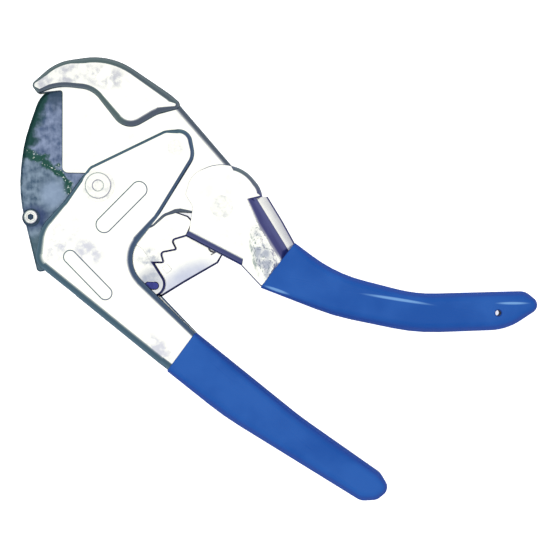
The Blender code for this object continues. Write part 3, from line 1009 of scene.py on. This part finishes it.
LOWER_GRIP = Grip(
    "lower_grip",
    Body.FRAME,
    LOWER_VINYL,
    (33.85, -67.8),
    -39.4,
    ((-0.5, 9.7), (0.5, -9.8)),
    (
        (-6.0, 9.6, 1.0, 1.0), (4.0, 9.8, 10.0, 3.6), (55.0, 10.3, 150.0, 5.0),
        (94.5, 13.3, 5.5, 4.6), (101.6, 10.8, 4.0, 3.6), (100.4, 4.0, 4.8, 4.2),
        (95.5, -0.6, 6.0, 4.6), (30.0, -9.5, 120.0, 5.2), (4.0, -9.8, 10.0, 3.6),
        (-6.0, -9.8, 1.0, 1.0),
    ),
)
UPPER_GRIP = Grip(
    "upper_grip",
    Body.UPPER,
    UPPER_VINYL,
    (73.4, -32.25),
    0.0,
    ((7.2, 9.3), (-7.2, -9.3)),
    (
        (-0.5, 14.4, 2.0, 1.6), (23.7, -3.6, 60.0, 4.4), (56.5, -12.0, 60.0, 4.8),
        (101.1, -10.8, 6.0, 4.4), (108.1, -16.8, 4.6, 3.1), (93.8, -26.6, 24.0, 4.8),
        (56.5, -28.0, 80.0, 5.0), (22.6, -21.0, 90.0, 4.6), (-13.5, -7.0, 2.0, 1.6),
    ),
    hole=(163.2, -52.0),
)


@dataclass
class HookShells:
    """The two pressed hook shells with their crowns and turned-in rims."""

    face: float = 3.45
    back: float = 1.95
    crown: float = 5.05
    wall: float = 1.4
    blade_room: float = 46.8
    tail_room: Sequence[Point] = ((0, -40), (90, -40), (90, 9), (0, 9))
    past: Heights = (-1.0, 4.0)
    outline: Outline = (
        (-27.6, 41.4, 1.6, 0.7), (-17.5, 50.6, 20.0, 2.0), (5.0, 54.0, 60.0, 2.6),
        (29.4, 37.4, 26.0, 3.2), (55.5, 7.0, 8.0, 2.8), (60.0, -17.4, 8.4, 0.6),
        (43.0, -17.6, 7.0, 0.6), (38.8, -11.2, 1.2, 1.0), (32.5, -10.9, 6.0, 1.9),
        (27.4, -12.3, 5.0, 1.3), (22.0, -17.0, 6.0, 0.9), (10.0, -20.0, 6.0, 0.5),
        (-12.5, -9.5, 9.0, 0.4), (-4.0, 5.0, 1.0, 0.3), (-15.0, 5.2, 2.5, 0.3),
        (-15.0, 38.8, 0.8, 0.4), (-24.8, 37.6, 1.2, 0.6),
    )
    crown_outline: Outline = (
        (-27.6, 41.4, 1.9, 0.9), (-17.5, 50.6, 20.0, 1.8), (5.0, 54.0, 60.0, 2.6),
        (29.4, 37.4, 26.0, 3.0), (35.4, 32.2, 2.6, 1.8), (24.0, 28.6, 12.0, 3.6),
        (11.0, 21.2, 10.0, 3.4), (-2.6, 38.8, 10.0, 2.7), (-15.5, 40.4, 20.0, 2.5),
        (-24.8, 37.6, 1.9, 1.8),
    )

    def rim(self) -> Piece:
        """The turned-in rim, left out where the blade and its tail swing."""
        rim = prism("rim", self.outline, (0.15, self.back + 0.1))
        points = line_of(self.outline)
        inner = [point + into * self.wall for point, into in zip(points, inward(points))]
        for tool in (
            block("inside", inner, self.past),
            turned("blade room", (0, 0), [(self.blade_room, height) for height in self.past], 96),
            prism("tail room", plain(self.tail_room), self.past),
        ):
            cut(rim, tool)
        return rim

    def build(self) -> None:
        """Press the front shell, mirror the rear one and dress both."""
        sheet = pressed("hook_front", self.outline, (self.back, self.face))
        crown = pressed("crown", self.crown_outline, (self.back + 0.3, self.crown), 2.2)
        front = joined([sheet, crown, self.rim()])
        rear = mirrored(front, "hook_rear")
        for piece, node in ((front, "hook_shell_front"), (rear, "hook_shell_rear")):
            hand_over(piece, HOOK_PLATING, Body.FRAME, node)


@dataclass
class LowerHandle:
    """The fixed handle: a bent channel with a wide head, two embossed pads and a grip."""

    flange: Heights = (3.75, 5.25)
    wall: float = 1.5
    web_start: Point = (-9.4, -44.9)
    depth: float = 5.0
    half: float = 9.1
    past_mouth: float = 9.0
    far: float = 120.0
    pivot_hole: float = 3.5
    head: Outline = (
        (-26.2, -31.2, 6.5, 3.3), (-23.5, -16.6, 14.0, 2.6), (-14.5, -6.8, 14.0, 2.0),
        (-3.6, 7.8, 4.0, 1.3), (27.0, 22.6, 5.0, 1.3), (37.4, 23.6, 5.8, 2.0),
        (39.6, 11.8, 8.0, 1.8), (25.0, -11.8, 30.0, 1.7), (9.8, -31.0, 12.0, 3.0),
    )
    pads: Sequence[tuple[Point, Point, float]] = (
        ((2.4, -15.9), (16.6, -1.6), 3.5),
        ((-11.5, -29.1), (2.9, -43.9), 2.9),
    )
    grip: Grip = LOWER_GRIP

    def channel(self) -> Piece:
        """The head and the channel, with the room behind the bent web cut out."""
        spot, depth, half = self.grip.spot, self.depth, self.half
        low, high = self.flange
        corners = [
            *self.head,
            (*spot(depth, half), 2.6, 2.5),
            (*spot(depth, -half), 3.5, 3.4, 2.6),
            (*spot(-4.0, -9.5), 6.0, 3.4, 2.6),
        ]
        sheet = pressed("lower_handle_sheet", corners, (-high, high), 1.4, Edge.BOTH)
        start, stop = Vector(self.web_start), Vector(spot(depth, -half))
        along = (stop - start).normalized()
        wall, far = beside(along) * self.wall, beside(along) * self.far
        room = (
            start + wall,
            stop + wall + along * self.past_mouth,
            stop + along * self.past_mouth + far,
            start - along * self.far + far,
            start - along * self.far - far,
            start - far,
        )
        cut(sheet, prism("room", plain(room), (-low, low)))
        bore(sheet, (0, 0), self.pivot_hole)
        return sheet

    def build(self) -> None:
        """Bend the channel, add its lip and pads and dip its grip."""
        spot = self.grip.spot
        low, high = self.flange
        sheet = self.channel()
        skirt = [
            (14.0, -33.0, 6.0, 0.8),
            (*spot(0.0, 9.8), 1.5, 0.8),
            (*spot(self.depth, 8.6), 0.5, 0.3),
            (*spot(0.0, 2.0), 0.5, 0.3),
            (8.0, -36.0, 2.0, 0.3),
        ]
        lip = pressed("lip", skirt, (-high + 0.05, -low - 0.05), 0.6, Edge.BOTH)
        pads = [
            pressed("pad", stadium(start, end, radius, 0.55), (high - 0.3, high + 0.28), 0.3)
            for start, end, radius in self.pads
        ]
        sheet = joined([sheet, lip, *pads])
        hand_over(sheet, LOWER_PLATING, Body.FRAME, "lower_handle_channel")
        self.grip.build()


@dataclass
class UpperHandle:
    """The moving handle: a head with a round ear, a stepped web and a grip."""

    pivot: Point = HANDLE_PIVOT
    ear: float = 17.2
    flange: Heights = (3.75, 5.25)
    under: Outline = (
        (72.0, -41.6, 0.5, 0.3), (66.2, -41.0, 0.6, 0.5), (58.2, -32.5, 1.0, 0.5),
        (35.4, -20.5, 1.0, 0.5),
    )
    left: Sequence[Point] = ((37.8, -14.0), (38.6, -8.6), (35.6, -3.6))
    side: Sequence[Sequence[Point]] = (
        ((60.6, -5.4), (64.4, -4.7), (69.2, -4.4)),
        ((65.0, -15.5), (70.9, -15.3), (75.4, -14.6)),
        ((74.6, -31.0), (78.9, -28.3), (82.0, -26.6)),
    )
    lip: Sequence[Sequence[Point]] = (
        ((37.2, -18.2), (35.4, -20.5)),
        ((59.2, -29.6), (58.2, -32.5)),
    )
    grip: Grip = UPPER_GRIP

    def ear_corners(self, rims: Sequence[float]) -> list[Corner]:
        """The round ear from its left side, over the top, to its right side."""
        return arc_corners(self.pivot, self.ear, (152, 115, 75, 40, 14), rims)

    def build(self) -> None:
        """Bend the head from its two flanges, its stepped side and its lip, and dip its grip."""
        low, high = self.flange
        inner, _, outer = zip(*self.side)
        (lip_start, _), (lip_end, _) = self.lip
        front_under = [*self.under[:3], *plain((lip_end, lip_start), 0.2, 0.05)]
        front_left = [*plain(self.left, 1.5, 0.1), *self.ear_corners((0.1, 0.3, 1.9, 2.1))]
        front_side = [(67.0, -4.8, 0.9, 0.9), *plain(inner, 0.2, 0.05)]
        front = pressed("upper_handle_sheet", [*front_under, *front_left, *front_side], (low, high))
        rear_left = [*plain(self.left, 1.5, 0.3), *self.ear_corners((0.8,) * 4)]
        rear_side = [(67.1, -4.6, 0.3, 0.3), *plain(outer, 0.5, 0.4)]
        rear = pressed("upper_rear", [*self.under, *rear_left, *rear_side], (-high, -low))
        proud = high + 0.02
        side = folded("stepped_side", self.side, (proud, 1.4, 0.6), 0.1 - high)
        lip = folded("lip", self.lip, (proud, 3.1), 2.9)
        sheet = joined([front, rear, side, lip])
        hand_over(sheet, UPPER_PLATING, Body.UPPER, "upper_handle_channel")
        self.grip.build()


@dataclass
class BladeSet:
    """The blade, its toothed carrier and the screw that clamps them."""

    face: float = 1.65
    middle: float = 0.15
    pivot_hole: float = 5.1
    tip: float = 41.6
    notch: float = 37.6
    root: float = 13.0
    shoulder: float = 38.5
    start: float = -18.5
    end: float = -66.0
    first_notch: float = -36.4
    teeth: int = 3
    pitch: float = 10.5
    lead: float = 2.7
    screw: Point = (-27.8, -12.7)
    screw_hole: float = 1.9
    screw_top: float = 3.45
    lobe: tuple[Point, Point] = ((14.6, -29.0), (21.7, -40.2))
    slot: tuple[Point, Point] = ((20.4, -40.8), (23.0, -40.9))
    blade: Outline = (
        (-24.4, 36.2, 12.0, 1.6), (-11.0, 46.5, 3.0, 0.4), (-4.5, 23.0, 45.0, 0.4),
        (8.6, 8.6, 7.0, 0.4), (8.6, -9.6, 7.0, 0.4), (-9.0, -9.8, 6.0, 0.4),
        (-19.8, -22.0, 14.0, 0.8), (-21.8, -34.9, 1.6, 0.7), (-25.2, -35.3, 1.6, 0.7),
        (-33.0, -3.2, 70.0, 1.0), (-30.8, 18.0, 60.0, 1.5),
    )
    arm: Outline = (
        (-31.4, -10.4, 3.2, 0.5), (-27.5, -8.4, 4.0, 0.5), (-9.6, 8.6, 8.0, 0.5),
        (9.6, 9.0, 8.0, 0.5), (25.0, -8.0, 6.0, 0.5), (12.0, -24.0, 6.0, 0.5),
        (-12.0, -13.0, 8.0, 0.5), (-26.0, -17.2, 3.0, 0.5), (-31.0, -16.2, 3.0, 0.5),
    )

    def tail_corners(self) -> list[Corner]:
        """Lay out the tail's sides, its shoulder and its three hooked teeth.

        Returns:
            The corners, worked out from their radius and direction.
        """
        spots = [
            (self.root, self.end, 0.5, 0.3),
            (self.root, self.start, 0.5, 0.3),
            (self.shoulder, self.start, 1.0, 0.7),
            (self.tip, -20.6, 0.9, 0.8),
            (self.tip, -29.6, 1.0, 0.8),
        ]
        for k in range(self.teeth):
            angle = self.first_notch - self.pitch * k
            spots += [(self.notch, angle, 0.9, 0.8), (self.tip, angle - self.lead, 0.9, 0.8)]
        # The last notch runs out into the end of the tail, with no tip after it.
        spots[-1] = (self.notch - 5.5, self.end, 0.5, 0.4)
        return [
            (*(radius * step for step in heading(direction)), round_to, rim)
            for radius, direction, round_to, rim in spots
        ]

    def build(self) -> None:
        """Grind the blade, stamp the carrier and turn the screw."""
        low, high = self.middle, self.face
        blade = pressed("ground_blade", self.blade, (low, high), 0.7)
        bore(blade, (0, 0), self.pivot_hole)
        bore(blade, self.screw, self.screw_hole)
        hand_over(blade, BLADE_STEEL, Body.BLADE, "cutting_blade")
        arm = pressed("toothed_tail", self.arm, (-high, -low), 0.4, Edge.BOTH)
        tail = pressed("tail", self.tail_corners(), (-high, high), 0.8, Edge.BOTH)
        lobe = pressed("lobe", stadium(*self.lobe, 5.5, 1.1), (low, high + 0.05), 0.9)
        for plate in (tail, lobe):
            cut(plate, prism("slot", stadium(*self.slot, 1.7, 0.0), THROUGH))
        # A dark insert in the slot: painted shade in the hole.
        slot_shade = pressed("slot_shade_insert", stadium(*self.slot, 1.6, 0.3), (-high, high - 0.5), 0.2)
        hand_over(slot_shade, SLOT_SHADE_STEEL, Body.BLADE)
        carrier = joined([arm, tail, lobe])
        hand_over(carrier, CARRIER_PLATING, Body.BLADE, "blade_carrier")
        self.turn_screw()

    def turn_screw(self) -> None:
        """Turn a low head with a rolled rim and a six-sided socket; a dark ring of painted shade lies under
        the head, and a dark disc of painted shade in the socket.
        """
        x, y = self.screw
        low, top = self.face, self.screw_top
        # A dark ring under the head: painted shade round the screw.
        shade_ring = [(3.7, low), (3.7, low + 0.1), (3.5, low + 0.2), (1.5, low + 0.2)]
        shaft = [(1.6, -low), (1.6, 1.9), (2.9, 1.95)]
        head = [(2.9, top - 0.45), (2.75, top - 0.12), (2.5, top), (1.85, top), (1.7, top - 0.2)]
        # A dark disc at the bottom of the socket: painted shade in the recess.
        floor = [(1.38, top - 1.3), (1.38, top - 0.4), (0.9, top - 0.5)]
        shade_ring_piece = turned("screw_shade_ring", (x + 0.1, y - 0.25), shade_ring)
        hand_over(shade_ring_piece, SHADE_STEEL, Body.BLADE)
        screw = turned("clamp_screw", self.screw, shaft + head)
        cut(screw, turned("socket", self.screw, [(1.4, top - 1.2), (1.4, top + 1)], 6))
        hand_over(screw, BRIGHT, Body.BLADE, "blade_screw")
        socket_shade_piece = turned("socket_shade_disc", self.screw, floor, 6)
        hand_over(socket_shade_piece, SHADE_STEEL, Body.BLADE)


@dataclass
class PawlPlate:
    """The pawl behind the teeth, with the nose that catches them."""

    heights: Heights = (-3.45, -1.95)
    outline: Outline = (
        (46.5, -19.8, 4.0, 0.5), (52.6, -24.4, 3.0, 0.5), (48.8, -31.6, 1.0, 0.9),
        (35.0, -39.6, 20.0, 1.0), (24.6, -46.0, 1.5, 1.0), (22.6, -42.0, 1.5, 0.5),
        (22.2, -29.0, 3.0, 0.3), (36.4, -16.8, 4.0, 0.3),
    )
    pin: Point = (47.0, -25.0)
    pin_hole: float = 1.9
    nose: float = -50.6
    nose_half: float = 1.3
    nose_reach: Point = (42.4, 45.4)
    nose_heights: Heights = (-2.1, -0.15)

    def build(self) -> None:
        """Stamp the plate and its nose."""
        plate = pressed("pawl_plate", self.outline, self.heights, 0.6)
        out = Vector(heading(self.nose))
        across = beside(out) * self.nose_half
        near, far = (out * reach for reach in self.nose_reach)
        spots = (near - across, far - across, far + across, near + across)
        nose = pressed("nose", plain(spots, 0.4, 0.05), self.nose_heights, 0.05)
        bore(plate, self.pin, self.pin_hole)
        plate = joined([plate, nose])
        hand_over(plate, PAWL_PLATING, Body.PAWL, "pawl")


@dataclass
class Pins:
    """The riveted pins: a drilled main pivot, a low handle pin and the frame rivet."""

    high: Heights = (6.45, 7.9)
    low: Heights = (5.55, 6.45)
    flush: float = 5.24
    rivet: Point = (31.6, 15.6)

    def head(self, radius: float, base: float, top: float) -> Profile:
        """Draw the profile of a head with a rounded edge.

        Args:
            radius: Its radius.
            base: Height of its underside.
            top: Height of its face.

        Returns:
            The profile, from the underside to the face.
        """
        steps = 4
        round_to = min(0.55, (top - base) * 0.6)
        turns = [math.pi / 2 * k / steps for k in range(steps + 1)]
        return [(radius, base)] + [
            (radius - round_to * (1 - math.cos(a)), top - round_to + round_to * math.sin(a)) for a in turns
        ]

    def pin(
        self, name: str, node: str, place: Point, shaft: float, rear: Profile, front: Profile
    ) -> None:
        """Turn a bright pin.

        Args:
            name: Name of the new piece.
            node: The CAD node that it stands for.
            place: Its axis.
            shaft: Radius of its shaft.
            rear: Profile of its rear head, given upside down.
            front: Profile of its front head.
        """
        below = [(radius, -height) for radius, height in reversed(rear)]
        profile = [*below, (shaft, -rear[0][1]), (shaft, front[0][1]), *front]
        hand_over(turned(name, place, profile), BRIGHT, Body.FRAME, node)

    def build(self) -> None:
        """Turn the pins and dress the small CAD parts that stay."""
        top, flush = self.high[1], self.flush
        head = self.head(5.4, *self.high)
        drilled = [*head, (2.5, top), (2.3, top - 0.15), (2.1, top - 0.9), (0.6, top - 1.1)]
        wide = [(4.8, flush), (4.3, flush + 0.05), (3.0, flush + 0.15), (1.0, flush + 0.21)]
        small = [(3.4, flush), (3.0, flush + 0.04), (2.1, flush + 0.11), (0.8, flush + 0.15)]
        self.pin("main_pin", "main_pivot_pin", (0, 0), 3.2, head, drilled)
        high_head, low_head = self.head(4.8, *self.high), self.head(3.4, *self.low)
        self.pin("handle_pin", "handle_pivot_pin", HANDLE_PIVOT, 2.8, high_head, wide)
        self.pin("hook_rivet", "frame_rivet", self.rivet, 1.8, low_head, small)
        for finish, nodes in (
            (BRONZE, ("blade_bush", "handle_bush_front", "handle_bush_rear")),
            (BRIGHT, ("frame_spacer", "handle_washer", "pawl_pin")),
            (BRIGHT, ("main_washer_front", "main_washer_rear")),
            (WIRE, ("pawl_spring", "handle_spring")),
        ):
            for node in nodes:
                dress(node, finish)


# The studio


@dataclass
class Studio:
    """A pale floor, an overhead soft light with darker sides, and the camera above."""

    centre: Point = (74.21, -38.54)
    width: float = 229.6
    lens: float = 200.0
    sensor: float = 36.0
    floor_size: float = 6.0
    floor_level: float = -0.0004
    lamp_size: float = 0.7
    lamp_power: float = 3.0
    lamp_place: Lengths = (-0.25, 0.25, 1.1)
    white: Colour = (1.22, 1.22, 1.16)
    teal: Colour = (0.42, 0.50, 0.49)
    navy: Colour = (0.38, 0.38, 0.50)
    pale: Colour = (0.75, 0.78, 0.80)
    dark: Colour = (0.14, 0.16, 0.19)
    even: Colour = (0.95, 0.95, 0.95)

    @property
    def aim(self) -> Vector:
        """The middle of the view, in metres."""
        return lifted(Vector(self.centre), 0) * MM

    def build(self) -> None:
        """Set the stage."""
        bpy.context.scene.view_settings.view_transform = "Standard"
        self.lay_floor()
        self.light_world()
        self.hang_light()
        self.place_camera()

    def lay_floor(self) -> None:
        """A large pale floor just under the tool."""
        clear_selection()
        place = (*self.aim.xy, self.floor_level)
        bpy.ops.mesh.primitive_plane_add(size=self.floor_size, location=place)
        floor = bpy.context.object
        floor.name = "floor"
        made = Shader("pale_floor")
        made.give(
            Base_Color=(0.9, 0.9, 0.9, 1.0),
            Roughness=0.9,
            Emission_Color=(1.0, 1.0, 1.0, 1.0),
            Emission_Strength=0.8,
        )
        floor.data.materials.append(made.material)
        floor.visible_glossy = False

    def light_world(self) -> None:
        """White all round for plain surfaces, and a bright top with dark sides for shiny ones."""
        world = bpy.data.worlds.new("studio")
        bpy.context.scene.world = world
        world.use_nodes = True
        made = Nodes(world.node_tree)
        x, y, z = made.add("SeparateXYZ", Vector=made.place).outputs
        lean = made.plus(made.times(x, -1.3), made.times(y, 0.7))
        sides = made.blend(made.between(lean, -0.5, 0.5), self.navy, self.teal)
        dim = made.blend(made.between(z, 0.10, 0.45), made.blend(0.5, sides, self.pale), sides)
        under = made.blend(made.between(z, -0.35, -0.70), dim, self.dark)
        over = made.blend(made.between(z, 0.84, 0.95), under, self.white)
        path = made.tree.nodes.new("ShaderNodeLightPath")
        even = made.most(path.outputs["Is Camera Ray"], path.outputs["Is Diffuse Ray"])
        back = made.tree.nodes["Background"]
        made.feed_all(back, {"Color": made.blend(even, over, self.even), "Strength": 1.0})

    def hang_light(self) -> None:
        """One broad light above and to the left."""
        data = bpy.data.lights.new("soft_light", "AREA")
        data.shape = "SQUARE"
        data.size = self.lamp_size
        data.energy = self.lamp_power
        lamp = bpy.data.objects.new("soft_light", data)
        bpy.context.scene.collection.objects.link(lamp)
        lamp.location = self.lamp_place
        lamp.rotation_euler = (self.aim - lamp.location).to_track_quat("-Z", "Y").to_euler()
        lamp.visible_glossy = False

    def place_camera(self) -> None:
        """Straight above the tool, far enough away to look flat."""
        data = bpy.data.cameras.new("camera")
        data.lens = self.lens
        data.sensor_width = self.sensor
        camera = bpy.data.objects.new("camera", data)
        bpy.context.scene.collection.objects.link(camera)
        height = self.width * MM * self.lens / self.sensor
        camera.location = (*self.aim.xy, height + MIDDLE * MM)
        data.clip_end = 20.0
        bpy.context.scene.camera = camera


def main() -> None:
    """Build every sub-assembly, then the studio."""
    logging.basicConfig(level=logging.INFO, format="%(name)s: %(message)s")
    for assembly in (HookShells(), LowerHandle(), UpperHandle(), BladeSet(), PawlPlate(), Pins(), Studio()):
        assembly.build()
        LOG.info("%s built", type(assembly).__name__)


if __name__ == "__main__":
    main()
